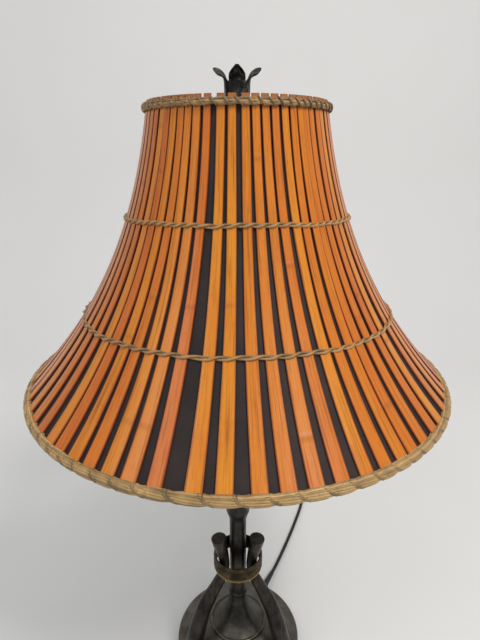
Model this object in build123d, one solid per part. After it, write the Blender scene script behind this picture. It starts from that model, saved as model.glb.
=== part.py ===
from build123d import *
from math import atan2, cos, hypot, pi, radians, sin, tan
import os

# A table lamp. A hollow bronze base carries a column and three bowed, bamboo-like legs, and a harp over
# the bulb holds a bell shade of split bamboo slats, bound and twined with cane over a dark lining.
# Millimetres, +Z up. The origin is the middle of the base's underside, -Y is the front, +X the right.

# Clearances
running = 0.08  # radial, round what turns or slides in a bore
loose = 0.3  # between curved faces that only lie near each other
seat_gap = 0.1  # under a foot that is cut to the dome it stands on

# Base
base_radius = 83.0
felt_thick = 1.5
rim_height = 12.0
ridge_radius = 36.0
ridge_height = 36.0
dome_top_radius = 11.5
dome_top = 82.0
dome_wall = 3.0
rim_wall = 5.5

# Rod and column
rod_radius = 4.9
rod_wall = 1.5
column_radius = 10.5
column_wall = 1.8
collar_height = 6.0
collar_radius = column_radius + 1.7
cup_bottom = 206.0
cup_height = 25.0
cup_radius = column_radius + 4
column_top = 430.0
cap_height = 10.0
cap_radius = column_radius + 2

# Legs and their binding
leg_angles = {"leg_left": 210.0, "leg_right": 330.0, "leg_rear": 90.0}
leg_sections = 20
binding_inner = column_radius + 18.9
binding_height = 22.0
binding_middle = 140.0
binding_thick = 2.4
binding_turns = 3

# Harp, socket and bulb
harp_leg_x = 26.0
harp_wire_radius = 2.0
harp_bulge_x = 58.0
harp_height = 222.0
saddle_thick = 1.6
saddle_width = 16.0
peg_height = 8.0
ferrule_height = 17.0
lamp_screw_radius = 13.0
socket_radius = lamp_screw_radius + 3.5
socket_height = 44.0
socket_sheet = 0.9
bulb_radius = 30.0
bulb_length = 110.0
bulb_wall = 0.8
knob_radius = 5.5
knob_length = 14.0

# Shade: the outer face of the slats runs between two rims, leaning out more and more towards the bottom.
# Its heights are measured from the hub that the finial holds down, and then from its upper rim
bell_above_hub = 7.9
bell_height = 264.0
bell_top_radius = 84.5
bell_top_lean = 9.2
bell_bottom_radius = 218.4
bell_bottom_lean = 44.7
slat_rise = 6.8
slat_drop = 0.5
slat_count = 64
slat_thick = 1.6
slat_half_top = 3.3
slat_half_bottom = 6.6
lining_thick = 0.8
frame_wire_radius = 1.5
frame_gap = 0.7
rib_count = 6
arm_count = 3
hem_radius = 5.0
hem_drop = 0.7
hem_inset = 2.4
band_drop = 2.3
band_height = 6.6
band_thick = 3.0
twine_radius = 1.5
upper_twine_drop = 93.3
lower_twine_drop = 186.7
hub_radius = 12.7
hub_thick = 2.0
# Degrees to the right of the front: the slats that face the front are unevenly spaced
front_slats = (-46, -41.6, -36.5, -31.6, -26.6, -21.5, -15.9, -8.1, -2.2,
               4.5, 10.1, 15.7, 21.1, 26.9, 31.9, 37.1, 41.1, 46.1)

# Finial
finial_cup_radius = 10.2
finial_height = 45.0
leaf_count = 4
leaf_tip_radius = 22.7
leaf_wall = 2.2
leaf_half_width = 7.2
stud_radius = 3.1
stud_length = 11.0

# Cord: it leaves the rear right of the base, runs back over the floor and ends in a coil with its plug
cord_radius = 2.5
cord_length = 1800.0
cord_side = 61.6
exit_height = 6.3
exit_radius = base_radius + 6.3
bushing_wall = 1.1
floor_gap = 0.2
coil_turns_across = 4
coil_layers = 2
coil_mid_radius = 30.0
coil_middle = (93.9, 326.3)
coil_arrival = 12.0
coil_lead = 24.0
coil_out = 38.0
cord_straight = 14.0
plug_size = (28.0, 24.0, 15.0)
blade_size = (17.0, 1.5, 6.3)
blade_spacing = 12.7


# Shapes that repeat

def at_angle(shape, angle):
    """The shape turned about the lamp's axis."""
    return Rot(0, 0, angle) * shape


def turned(*edges):
    """A closed outline in the XZ plane, as points or edges, turned about the axis."""
    if isinstance(edges[0], tuple):
        face = Face(Wire.make_polygon([(r, 0, z) for r, z in edges]))
    else:
        face = Face(Wire(edges))
    return revolve(face, Axis.Z, 360)


def ring(inner, outer, bottom, top):
    """A tube, or a washer."""
    return turned((inner, bottom), (outer, bottom), (outer, top), (inner, top))


def post(radius, bottom, top, x=0.0, y=0.0):
    """A round bar along Z."""
    bar = Cylinder(radius, top - bottom, align=(Align.CENTER, Align.CENTER, Align.MIN))
    return Pos(x, y, bottom) * bar


def torus(ring_radius, radius, height):
    return Pos(0, 0, height) * Torus(ring_radius, radius)


def rod_along(path, radius):
    """A round bar along a path."""
    return sweep(Plane(path @ 0, z_dir=path % 0) * Circle(radius), path)


def save(name, *solids):
    """One file for each piece, or for each group of like pieces."""
    shape = solids[0] if len(solids) == 1 else Compound(children=list(solids))
    export_step(shape, f"parts/{name}.step")


# The bell's outline

def bell(z):
    """Radius and lean of the slats' outer face: a cubic with the stated radius and lean at both rims."""
    height = bell_top - bell_bottom
    top_slope = tan(radians(bell_top_lean)) * height
    bottom_slope = tan(radians(bell_bottom_lean)) * height
    widening = bell_bottom_radius - bell_top_radius
    cubic = top_slope + bottom_slope - 2 * widening
    square = widening - top_slope - cubic
    down = (bell_top - z) / height
    radius = bell_top_radius + top_slope * down + square * down**2 + cubic * down**3
    slope = (top_slope + 2 * square * down + 3 * cubic * down**2) / height
    return radius, atan2(slope, 1)


def bell_point(z, depth):
    """Where a line square to the outer face at z is, that deep inside it."""
    radius, lean = bell(z)
    return radius - depth * cos(lean), z - depth * sin(lean)


def bell_curve(bottom, top, depth, spans=8):
    """The outline at a depth, between two heights on the outer face."""
    heights = [bottom + (top - bottom) * i / spans for i in range(spans + 1)]
    points = [bell_point(z, depth) for z in heights]
    leans = [bell(bottom)[1], bell(top)[1]]
    return Spline(*[(r, 0, z) for r, z in points], tangents=[(-sin(a), 0, cos(a)) for a in leans])


def bell_band(bottom, top, outer_depth, inner_depth):
    """A face between two depths."""
    outer = bell_curve(bottom, top, outer_depth)
    inner = bell_curve(bottom, top, inner_depth)
    return Face(Wire([outer, Line(outer @ 1, inner @ 1), inner, Line(inner @ 0, outer @ 0)]))


# Base

def dome_outline(inset):
    """The base's outline from the axis's side, or its hollow's when inset is the wall."""
    top = (dome_top_radius - inset * 0.95, 0, dome_top - inset)
    ridge = (ridge_radius - 1.8 - inset * 0.9, 0, ridge_height - inset * 0.9)
    bell_arc = TangentArc(top, ridge, tangent=(0, 0, -1))
    if inset:
        slope_end = (base_radius - rim_wall - 1, 0, rim_height - inset)
        slope = ThreePointArc(ridge, (ridge_radius + 20, 0, 21 - inset), slope_end)
        foot = (base_radius - rim_wall, 0, felt_thick)
        return [bell_arc, slope, Line(slope_end, foot), Line(foot, (0, 0, felt_thick)),
                Line((0, 0, felt_thick), (0, 0, top[2])), Line((0, 0, top[2]), top)]
    bead_end = (ridge_radius + 2.2, 0, ridge_height - 3.2)
    bead = ThreePointArc(ridge, (ridge_radius + 1.6, 0, ridge_height - 0.4), bead_end)
    slope_end = (base_radius - 4, 0, rim_height)
    slope = ThreePointArc(bead_end, (ridge_radius + 21, 0, 20.5), slope_end)
    foot = (base_radius - 2, 0, felt_thick)
    rim = ThreePointArc(slope_end, (base_radius, 0, 6.5), foot)
    return [bell_arc, bead, slope, rim, Line(foot, (0, 0, felt_thick)),
            Line((0, 0, felt_thick), (0, 0, dome_top)), Line((0, 0, dome_top), top)]


weight_bottom = felt_thick + 0.2
weight_top = 11.0
weight_inner = 26.0
weight_outer = base_radius - 19
weight_screw_ring = weight_outer - 19
weight_screw_angles = (30, 150, 270)
leg_screw_ring = base_radius - 13
leg_screw_top = 27.0
leg_screw_seat = 10.0
screw_radius = 1.95
screw_head_radius = 3.5
screw_head = 2.4
boss_radius = 5.0


def screw(head_bottom, top, x):
    """A pan-head screw, head down."""
    return post(screw_head_radius, head_bottom, head_bottom + screw_head, x) + post(
        screw_radius, head_bottom + screw_head, top, x)


def cord_way(radius, inner, outer):
    """A round bar along the cord's way out of the base."""
    bar = Cylinder(radius, outer - inner, align=(Align.CENTER, Align.CENTER, Align.MIN))
    return at_angle(Pos(inner, 0, exit_height) * Rot(0, 90, 0) * bar, cord_side)


def make_base():
    solid = turned(*dome_outline(0))
    hollow = turned(*dome_outline(dome_wall))
    dome = solid - hollow
    for angle in weight_screw_angles:
        dome += at_angle(post(boss_radius, weight_top, 40, weight_screw_ring), angle) & solid
    for angle in leg_angles.values():
        dome += at_angle(post(boss_radius, leg_screw_seat, 40, leg_screw_ring), angle) & solid
    hole = screw_radius + running
    for angle in weight_screw_angles:
        dome -= at_angle(post(hole, weight_top - 1, weight_top + 9, weight_screw_ring), angle)
    for angle in leg_angles.values():
        dome -= at_angle(post(hole, leg_screw_seat - 1, leg_screw_top + 1, leg_screw_ring), angle)
    dome -= post(rod_radius + running, dome_top - 10, dome_top + 1)
    dome -= cord_way(cord_radius + bushing_wall + running, base_radius - 20, base_radius + 5)
    save("base_dome", dome)

    weight = ring(weight_inner, weight_outer, weight_bottom, weight_top)
    for angle in weight_screw_angles:
        weight -= at_angle(post(hole, 0, weight_top + 1, weight_screw_ring), angle)
        recess = post(screw_head_radius + loose, 0, weight_bottom + screw_head, weight_screw_ring)
        weight -= at_angle(recess, angle)
    channel_top = exit_height + cord_radius + 0.6
    channel = Pos(weight_inner - 5, 0, 0) * Box(
        weight_outer, 2 * cord_radius + 1.4, channel_top, align=(Align.MIN, Align.CENTER, Align.MIN))
    weight -= at_angle(channel, cord_side)
    save("base_weight", weight)

    save("felt_pad", post(base_radius - 4, 0, felt_thick))
    long_screw = screw(weight_bottom, weight_top + 8, weight_screw_ring)
    save("weight_screws", *[at_angle(long_screw, angle) for angle in weight_screw_angles])

    washer_top = dome_top - dome_wall
    nut_top = washer_top - 1.5
    save("base_washer", ring(rod_radius + running, 8.2, nut_top, washer_top))
    nut = Pos(0, 0, nut_top - 5) * extrude(RegularPolygon(7.0, 6, major_radius=False), 5)
    save("base_nut", nut - post(rod_radius + running, 0, dome_top))
    neck_inner = base_radius - 10
    bushing = cord_way(cord_radius + bushing_wall, neck_inner, exit_radius)
    flange = cord_way(cord_radius + bushing_wall + 1.4, exit_radius - 3.5, exit_radius - 1)
    bushing += flange & Pos(0, 0, floor_gap) * Box(400, 400, 60, align=(Align.CENTER, Align.CENTER, Align.MIN))
    save("cord_bushing", bushing - cord_way(cord_radius + running, neck_inner - 1, exit_radius + 1))
    return solid


# Column

rod_bottom = dome_top - 16
saddle_bottom = column_top + cap_height
socket_bottom = saddle_bottom + saddle_thick + 0.1
rod_top = socket_bottom + 14


def make_column():
    bore = rod_radius + running
    save("threaded_rod", ring(rod_radius - rod_wall, rod_radius, rod_bottom, rod_top))
    collar_top = dome_top + collar_height
    bulge = ThreePointArc((collar_radius - 0.8, 0, dome_top), (collar_radius, 0, dome_top + collar_height / 2),
                          (collar_radius - 0.8, 0, collar_top))
    collar = turned(bulge, Line(bulge @ 1, (bore, 0, collar_top)),
                    Line((bore, 0, collar_top), (bore, 0, dome_top)), Line((bore, 0, dome_top), bulge @ 0))
    save("base_collar", collar)
    tube_bore = column_radius - column_wall
    save("column_lower", ring(tube_bore, column_radius, collar_top, cup_bottom))
    cup_top = cup_bottom + cup_height
    cup = turned((bore, cup_bottom), (column_radius + 0.4, cup_bottom), (column_radius + 1.4, cup_bottom + 4),
                 (cup_radius - 0.6, cup_bottom + 10), (cup_radius, cup_bottom + 12),
                 (cup_radius, cup_top - 2), (cup_radius - 1.5, cup_top), (bore, cup_top))
    save("column_cup", cup)
    save("column_upper", ring(tube_bore, column_radius, cup_top, column_top))
    cap = turned((bore, column_top), (cap_radius, column_top), (cap_radius, column_top + 4),
                 (column_radius - 1, saddle_bottom), (bore, saddle_bottom))
    save("column_cap", cap)


# Legs

# The middle line of a leg, as its distance from the axis and its height, with its radius there. The foot
# keeps its place inside the rim, and the neck keeps clear of the column
leg_line = (
    (base_radius - 10, -8.0, 12.4), (base_radius - 13.5, 14.0, 12.2), (base_radius - 21.5, 50.0, 11.0),
    (column_radius + 37, 88.0, 9.4), (column_radius + 20.5, 112.0, 7.5), (column_radius + 11.6, 127.0, 6.7),
    (column_radius + 9.6, 139.0, 6.5), (column_radius + 10.4, 150.0, 6.7), (column_radius + 13.3, 165.0, 7.8),
    (column_radius + 17.2, 185.0, 9.5),
)


def leg_radius(height):
    """The radius eases from one stated height to the next."""
    for low, high in zip(leg_line, leg_line[1:]):
        if height <= high[1]:
            share = (height - low[1]) / (high[1] - low[1])
            return low[2] + (high[2] - low[2]) * share**2 * (3 - 2 * share)
    return leg_line[-1][2]


def leg():
    """A bowed leg in the +X half plane: round sections square to its line, thinnest at the neck."""
    middle = Spline(*[(across, 0, up) for across, up, _ in leg_line])
    sections = []
    for i in range(leg_sections + 1):
        point = middle @ (i / leg_sections)
        section = Plane(point, z_dir=middle % (i / leg_sections)) * Circle(leg_radius(point.Z))
        sections.append(section)
    return loft(sections)


def make_legs(base_solid):
    hole = screw_radius + running
    foot = Pos(0, 0, seat_gap) * base_solid
    below = Pos(0, 0, rim_height) * Box(400, 400, 50, align=(Align.CENTER, Align.CENTER, Align.MAX))
    shaft = leg() - foot - below - post(hole, 0, leg_screw_top + 1, leg_screw_ring)
    for name, angle in leg_angles.items():
        save(name, at_angle(shaft, angle))
    small_screw = screw(leg_screw_seat - screw_head, leg_screw_top, leg_screw_ring)
    save("leg_screws", *[at_angle(small_screw, angle) for angle in leg_angles.values()])

    bottom = binding_middle - binding_height / 2
    pitch = binding_height / binding_turns
    outer = binding_inner + binding_thick
    edges = []
    for i in range(binding_turns):
        low = (outer - 1, 0, bottom + i * pitch)
        high = (outer - 1, 0, bottom + (i + 1) * pitch)
        edges.append(ThreePointArc(low, (outer, 0, bottom + (i + 0.5) * pitch), high))
    top = bottom + binding_height
    corners = [edges[-1] @ 1, (binding_inner, 0, top), (binding_inner, 0, bottom), edges[0] @ 0]
    edges += [Line(start, end) for start, end in zip(corners, corners[1:])]
    save("leg_binding", turned(*edges))


# Harp

saddle_shoulder = saddle_bottom + 9
leg_start = saddle_shoulder + peg_height + 0.2
harp_top = saddle_bottom + harp_height
seat_bottom = harp_top + harp_wire_radius + 0.2
hub_bottom = seat_bottom + 5.6

# The shade's places, which follow the hub
bell_top = hub_bottom + bell_above_hub
bell_bottom = bell_top - bell_height
slat_top = bell_top + slat_rise
slat_foot = bell_bottom - slat_drop
band_bottom = bell_top - band_drop
hem_height = bell_bottom - hem_drop
hem_ring_radius = bell_bottom_radius - hem_inset
lining_outer = slat_thick + loose
lining_inner = lining_outer + lining_thick
frame_depth = lining_inner + frame_gap + frame_wire_radius


def make_harp():
    x = harp_leg_x
    low = saddle_bottom
    side = [(0, low), (x - 4.5, low), (x + 2.5, low + 6.5), (x + 2.5, saddle_shoulder),
            (x - 2.5, saddle_shoulder), (x - 2.5, low + 4.3), (x - 5.2, low + saddle_thick),
            (0, low + saddle_thick)]
    outline = side + [(-a, z) for a, z in side[::-1] if a]
    strap = extrude(Face(Wire.make_polygon([(a, 0, z) for a, z in outline])), saddle_width / 2, dir=(0, 1, 0),
                    both=True)
    strap -= post(rod_radius + running, low - 1, low + 5)
    peg = post(harp_wire_radius - 0.05, saddle_shoulder - 1, saddle_shoulder + peg_height, x)
    save("harp_saddle", strap + peg + Rot(0, 0, 180) * peg)

    right = [(x, leg_start), (x, leg_start + 24), (harp_bulge_x, leg_start + 78),
             (harp_bulge_x, leg_start + 140), (34, harp_top - 14), (11, harp_top)]
    points = [(-a, 0, z) for a, z in right] + [(a, 0, z) for a, z in right[::-1]]
    bends = [22, 55, 45, 30, 12]
    path = FilletPolyline(*points, radius=bends + bends[::-1])
    save("harp_wire", rod_along(path, harp_wire_radius))

    seat = turned((0, seat_bottom), (7, seat_bottom), (9, seat_bottom + 3), (9, hub_bottom),
                  (5.2, hub_bottom), (5.2, hub_bottom + hub_thick - 0.2), (stud_radius, hub_bottom + hub_thick),
                  (stud_radius, hub_bottom + stud_length), (0, hub_bottom + stud_length))
    save("harp_seat", seat)
    ferrule_bottom = saddle_shoulder + 0.1
    inner = harp_wire_radius + running
    ferrule = ring(inner, 3.5, ferrule_bottom, ferrule_bottom + ferrule_height)
    save("harp_ferrule_left", Pos(-x, 0, 0) * ferrule)
    save("harp_ferrule_right", Pos(x, 0, 0) * ferrule)


# Socket, switch and bulb

shell_bottom = socket_bottom + 17
body_bottom = shell_bottom + 3.5
body_top = body_bottom + 16
shell_top = shell_bottom + socket_height
knob_height = body_bottom + 8
contact_top = body_top + 2.2
bulb_tip = contact_top + 0.1


def make_socket():
    sheet = socket_sheet
    r = socket_radius
    bore = rod_radius + running
    cap = turned((bore, socket_bottom), (8, socket_bottom), (8, socket_bottom + 4), (r - 1, socket_bottom + 10),
                 (r + sheet + 0.1, socket_bottom + 14), (r + sheet + 0.1, shell_bottom + 4),
                 (r + 0.1, shell_bottom + 4), (r + 0.1, shell_bottom), (r - 1.5, socket_bottom + 12),
                 (8, socket_bottom + 6), (bore, socket_bottom + 6))
    save("socket_cap", cap)

    def side_hole(radius):
        bar = Cylinder(radius, 30, align=(Align.CENTER, Align.CENTER, Align.MIN))
        return Pos(0, 0, knob_height) * Rot(90, 0, 0) * bar

    shell = turned((r - sheet, shell_bottom), (r, shell_bottom), (r, shell_top - 8), (r + 0.9, shell_top - 6.5),
                   (r + 0.9, shell_top - 5), (r, shell_top - 3.5), (r, shell_top), (r - sheet, shell_top))
    save("socket_shell", shell - side_hole(4.2))
    liner_outer = r - sheet - 0.15
    liner = ring(liner_outer - 0.6, liner_outer, shell_bottom + 1, shell_top - 1)
    save("socket_liner", liner - side_hole(3.2))
    body_radius = liner_outer - 0.6 - 0.15
    body = post(body_radius, body_bottom, body_top) - side_hole(2 + running)
    body += ring(lamp_screw_radius + 1.05, body_radius, body_top, body_top + 4)
    for x in (-1, 1):
        body -= Pos(x * (body_radius - 3), 0, body_bottom + 8) * Rot(0, x * 90, 0) * Cylinder(
            2.6, 6, align=(Align.CENTER, Align.CENTER, Align.MIN))
    save("socket_body", body)
    heads = [Pos(x * (body_radius - 3), 0, body_bottom + 8) * Rot(0, x * 90, 0) * Cylinder(
        2.4, 2.4, align=(Align.CENTER, Align.CENTER, Align.MIN)) for x in (-1, 1)]
    save("terminal_screws", *heads)
    save("socket_screw_shell", ring(lamp_screw_radius + 0.3, lamp_screw_radius + 0.9, body_top, shell_top - 2))
    save("socket_contact", post(4, body_top, contact_top))

    stem = Pos(0, -4, knob_height) * Rot(90, 0, 0) * Cylinder(
        2, r + 6, align=(Align.CENTER, Align.CENTER, Align.MIN))
    knob_start = -(r + 2)
    knob = Pos(0, knob_start, knob_height) * Rot(90, 0, 0) * Cylinder(
        knob_radius, knob_length, align=(Align.CENTER, Align.CENTER, Align.MIN))
    knob = chamfer(knob.edges(), 0.8)
    for i in range(10):
        flute = Pos(0, knob_start - 2, knob_height) * Rot(90, 0, 0) * Rot(0, 0, 36 * i)
        knob -= flute * Pos(knob_radius + 0.6, 0, 0) * Cylinder(
            1.0, knob_length, align=(Align.CENTER, Align.CENTER, Align.MIN))
    save("switch_stem", stem)
    save("switch_knob", knob - stem)


def make_bulb():
    cap_bottom = bulb_tip + 4.5
    cap_top = bulb_tip + 26
    save("bulb_contact", turned((0, bulb_tip), (3.5, bulb_tip), (4.8, bulb_tip + 1.5), (0, bulb_tip + 1.5)))
    save("bulb_insulator", turned((0, bulb_tip + 1.5), (5, bulb_tip + 1.5), (9.5, cap_bottom), (0, cap_bottom)))
    pitch = 3.63
    ridges = 5
    start = cap_bottom + 2
    edges = [Line((0, 0, cap_bottom), (10, 0, cap_bottom)),
             Line((10, 0, cap_bottom), (lamp_screw_radius - 0.7, 0, start))]
    for i in range(ridges):
        low = (lamp_screw_radius - 0.7, 0, start + i * pitch)
        high = (lamp_screw_radius - 0.7, 0, start + (i + 1) * pitch)
        edges.append(ThreePointArc(low, (lamp_screw_radius, 0, start + (i + 0.5) * pitch), high))
    crest = edges[-1] @ 1
    shoulder = (lamp_screw_radius - 0.7, 0, cap_top)
    edges += [Line(crest, shoulder), Line(shoulder, (0, 0, cap_top)), Line((0, 0, cap_top), (0, 0, cap_bottom))]
    save("bulb_cap", turned(*edges))
    save("bulb_glass", bulb_envelope(cap_top, 0) - bulb_envelope(cap_top + bulb_wall, bulb_wall))


def bulb_envelope(bottom, inset):
    """The bulb's outer shape above its cap, or the hollow in it."""
    radius = bulb_radius - inset
    top = bulb_tip + bulb_length - inset
    neck = (lamp_screw_radius - 0.9 - inset, 0, bottom)
    widest = (radius, 0, bulb_tip + bulb_length - bulb_radius)
    shoulder = (lamp_screw_radius + 3.5 - inset, 0, bulb_tip + 43)
    flank = Spline(neck, shoulder, widest, tangents=[(0, 0, 1), (0, 0, 1)])
    crown = TangentArc(widest, (0, 0, top), tangent=(0, 0, 1))
    return turned(flank, crown, Line((0, 0, top), (0, 0, bottom)), Line((0, 0, bottom), neck))


# Shade

def slat_angles():
    """Degrees to the right of the front: the stated ones, then the rest at nearly even steps round the back."""
    rest = slat_count - len(front_slats)
    first = front_slats[-1]
    step = (360 - (first - front_slats[0])) / (rest + 1)
    wander = [0.45 * sin(2.3 * i) + 0.3 * sin(5.1 * i) for i in range(1, rest + 1)]
    return list(front_slats) + [first + step * (i + 1) + wander[i] for i in range(rest)]


def wire_end(depth, height, toward, reach):
    """The point on the line from a wire ring's middle toward a point, where another wire stops short of it."""
    r, z = bell_point(height, depth)
    across = toward[0] - r
    up = toward[1] - z
    share = reach / hypot(across, up)
    return r + across * share, z + up * share


def make_shade():
    band = bell_band(slat_foot, slat_top, 0, slat_thick)
    strip = extrude(band, 10, dir=(0, 1, 0), both=True)
    reach = bell_bottom_radius + 10
    inner = bell_top_radius - 10
    taper = (slat_half_bottom - slat_half_top) / (hem_ring_radius - bell_top_radius)
    near = slat_half_top + taper * (inner - bell_top_radius)
    far = slat_half_top + taper * (reach - bell_top_radius)
    plan = Face(Wire.make_polygon([(inner, -near), (reach, -far), (reach, far), (inner, near)]))
    slat = strip & Pos(0, 0, slat_foot - 20) * extrude(plan, slat_top - slat_foot + 40)
    save("slats", *[at_angle(slat, angle - 90) for angle in slat_angles()])

    lining_top = slat_top - 4
    save("shade_lining", revolve(bell_band(slat_foot, lining_top, lining_outer, lining_inner), Axis.Z, 360))

    top_wire = band_bottom + band_height / 2
    bottom_wire = slat_foot + 1.8
    top_r, top_z = bell_point(top_wire, frame_depth)
    bottom_r, bottom_z = bell_point(bottom_wire, frame_depth)
    save("top_wire", torus(top_r, frame_wire_radius, top_z))
    save("bottom_wire", torus(bottom_r, frame_wire_radius, bottom_z))
    stop = frame_wire_radius + 0.25
    rib_line = bell_curve(bottom_wire + stop * cos(bell(bottom_wire)[1]), top_wire - stop, frame_depth)
    rib = rod_along(rib_line, frame_wire_radius)
    save("shade_ribs", *[at_angle(rib, 360 / rib_count * i) for i in range(rib_count)])

    hub_top = hub_bottom + hub_thick
    save("spider_hub", ring(5.2 + running, hub_radius, hub_bottom, hub_top))
    hub_middle = hub_bottom + frame_wire_radius + 0.3
    bend = (hub_radius + 16, hub_middle)
    end_r, end_z = wire_end(frame_depth, top_wire, bend, frame_wire_radius + 0.1)
    arm_line = FilletPolyline((hub_radius + 0.2, 0, hub_middle), (bend[0], 0, bend[1]), (end_r, 0, end_z),
                              radius=14)
    arm = rod_along(arm_line, frame_wire_radius)
    save("spider_arms", *[at_angle(arm, 30 + 360 / arm_count * i) for i in range(arm_count)])

    outside = 0.25
    band_face = bell_band(band_bottom, band_bottom + band_height, -outside - band_thick, -outside)
    top_band = revolve(band_face, Axis.Z, 360)
    save("top_binding", fillet(top_band.edges(), 1.0))
    for name, drop in (("upper_twine", upper_twine_drop), ("lower_twine", lower_twine_drop)):
        r, z = bell_point(bell_top - drop, -outside - twine_radius)
        save(name, torus(r, twine_radius, z))

    hem = torus(hem_ring_radius, hem_radius, hem_height)
    hem -= revolve(bell_band(slat_foot - 0.2, slat_foot + 14, -0.2, lining_inner + 0.2), Axis.Z, 360)
    hem -= torus(bottom_r, frame_wire_radius + loose, bottom_z)
    rib_hole = rod_along(bell_curve(bottom_wire, bottom_wire + 14, frame_depth),
                         frame_wire_radius + loose + 0.15)
    for i in range(rib_count):
        hem -= at_angle(rib_hole, 360 / rib_count * i)
    save("bottom_binding", hem)


# Finial

def make_finial():
    bottom = hub_bottom + hub_thick + 0.1
    r = finial_cup_radius
    neck = (6.4, 0, bottom + 6)
    lip = (r, 0, bottom + 28)
    crown = (0, 0, bottom + 33)
    body = turned(Line((0, 0, bottom), (8.2, 0, bottom)), Line((8.2, 0, bottom), (8.2, 0, bottom + 2.5)),
                  Line((8.2, 0, bottom + 2.5), neck), TangentArc(neck, lip, tangent=(0.3, 0, 1)),
                  TangentArc(crown, lip, tangent=(1, 0, 0)), Line(crown, (0, 0, bottom)))
    top = bottom + finial_height
    under_tip = (leaf_tip_radius, 0, top - 3.5)
    tip = (leaf_tip_radius - 0.6, 0, top - 2.6)
    outer = Spline((r - 3, 0, bottom + 10), (r + 2.6, 0, bottom + 27), under_tip,
                   tangents=[(0.25, 0, 1), (1, 0, 0.3)])
    inner = Spline(tip, (r + 1, 0, top - 9), (r - 3 - leaf_wall, 0, bottom + 16),
                   tangents=[(-1, 0, -0.1), (-0.2, 0, -1)])
    side = Face(Wire([outer, Line(under_tip, tip), inner, Line(inner @ 1, outer @ 0)]))
    leaf = extrude(side, leaf_half_width + 5, dir=(0, 1, 0), both=True)
    root = leaf_half_width - 1.7
    right_edge = Spline((-root, bottom + 9), (-leaf_half_width, bottom + 26), (0, top + 1))
    left_edge = Spline((0, top + 1), (leaf_half_width, bottom + 26), (root, bottom + 9))
    petal = Face(Wire([right_edge, left_edge, Line(left_edge @ 1, right_edge @ 0)]))
    leaf &= extrude(Plane.YZ * petal, leaf_tip_radius + 5, both=True)
    for i in range(leaf_count):
        body += at_angle(leaf, 360 / leaf_count * i)
    insert_top = hub_bottom + stud_length + 1.2
    body -= post(4.7, bottom - 1, insert_top + 0.2)
    save("finial", body)
    insert = ring(stud_radius + running, 4.6, bottom, insert_top)
    save("finial_insert", insert)


# Cord

def heading(angle):
    """The direction on the floor, degrees to the right of straight back."""
    return sin(radians(angle)), cos(radians(angle))


coil_pitch = 2 * cord_radius
coil_outer_line = coil_mid_radius + coil_pitch * coil_turns_across / 2
floor_line = cord_radius + floor_gap
upper_line = floor_line + coil_pitch * (coil_layers - 1)


def cord_corners():
    """The cord's route from the bushing over the floor to the coil's first turn."""
    ahead, back = heading(coil_arrival)
    arrive_x = coil_middle[0] + coil_outer_line * back
    arrive_y = coil_middle[1] - coil_outer_line * ahead
    lead_x = arrive_x - coil_lead * ahead
    lead_y = arrive_y - coil_lead * back
    out_x = cos(radians(cord_side))
    out_y = sin(radians(cord_side))
    clear = exit_radius + cord_straight
    return [
        (exit_radius * out_x, exit_radius * out_y, exit_height),
        (clear * out_x, clear * out_y, exit_height),
        (61.0, 115.5, floor_line),
        (81.5, 161.0, floor_line),
        (101.0, 208.0, floor_line),
        (lead_x - 35 * ahead, lead_y - 35 * back, floor_line),
        (lead_x, lead_y, floor_line),
    ]


def make_cord():
    corners = [Vector(*point) for point in cord_corners()]
    runs = [after - before for before, after in zip(corners, corners[1:])]
    radii = []
    for before, after in zip(runs, runs[1:]):
        turn = radians(before.get_angle(after))
        radii.append(0.45 * min(before.length, after.length) / tan(turn / 2))
    path = FilletPolyline(*corners, radius=radii)
    tube = rod_along(path, cord_radius)
    save("cord", tube)
    print("cord radii", [round(radius) for radius in radii], "length", round(path.length, 1),
          "volume ratio", round(tube.volume / (pi * cord_radius**2 * path.length), 4))
    turns = coil_turns_across * coil_layers
    print("coil holds", round(turns * 2 * pi * coil_mid_radius), "of", cord_length)

    half = coil_pitch * coil_turns_across / 2 + cord_radius - 0.4
    coil = ring(coil_mid_radius - half, coil_mid_radius + half, floor_gap + 0.4, upper_line + cord_radius - 0.4)
    middle = Pos(coil_middle[0], coil_middle[1], 0) * Rot(0, 0, -coil_arrival)
    for start, length, height in ((-coil_lead, coil_lead, floor_line), (0, coil_out, upper_line)):
        lead = Cylinder(cord_radius, length, align=(Align.CENTER, Align.CENTER, Align.MIN))
        coil += Pos(coil_outer_line, start, height) * Rot(-90, 0, 0) * lead
    save("cord_coil", middle * coil)

    length, width, height = plug_size
    plug_frame = middle * Pos(coil_outer_line, coil_out, upper_line) * Rot(0, 0, 90)
    body = Box(length, width, height, align=(Align.MIN, Align.CENTER, Align.CENTER))
    body = fillet(body.edges().filter_by(Axis.X), 4)
    save("plug_body", plug_frame * body)
    blade_length, blade_thick, blade_width = blade_size
    blade = Box(blade_length, blade_thick, blade_width, align=(Align.MIN, Align.CENTER, Align.CENTER))
    blades = [plug_frame * Pos(length, side * blade_spacing / 2, 0) * blade for side in (-1, 1)]
    save("plug_blades", *blades)


def make_inner_lead():
    """From the bushing's mouth through the weight's channel and up the rod to the socket."""
    out = (exit_radius, 0, exit_height)
    path = FilletPolyline(out, (0, 0, exit_height), (0, 0, body_bottom), radius=22)
    save("inner_lead", at_angle(rod_along(path, cord_radius), cord_side))


os.makedirs("parts", exist_ok=True)
make_legs(make_base())
make_column()
make_harp()
make_socket()
make_bulb()
make_shade()
make_finial()
make_cord()
make_inner_lead()
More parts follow.
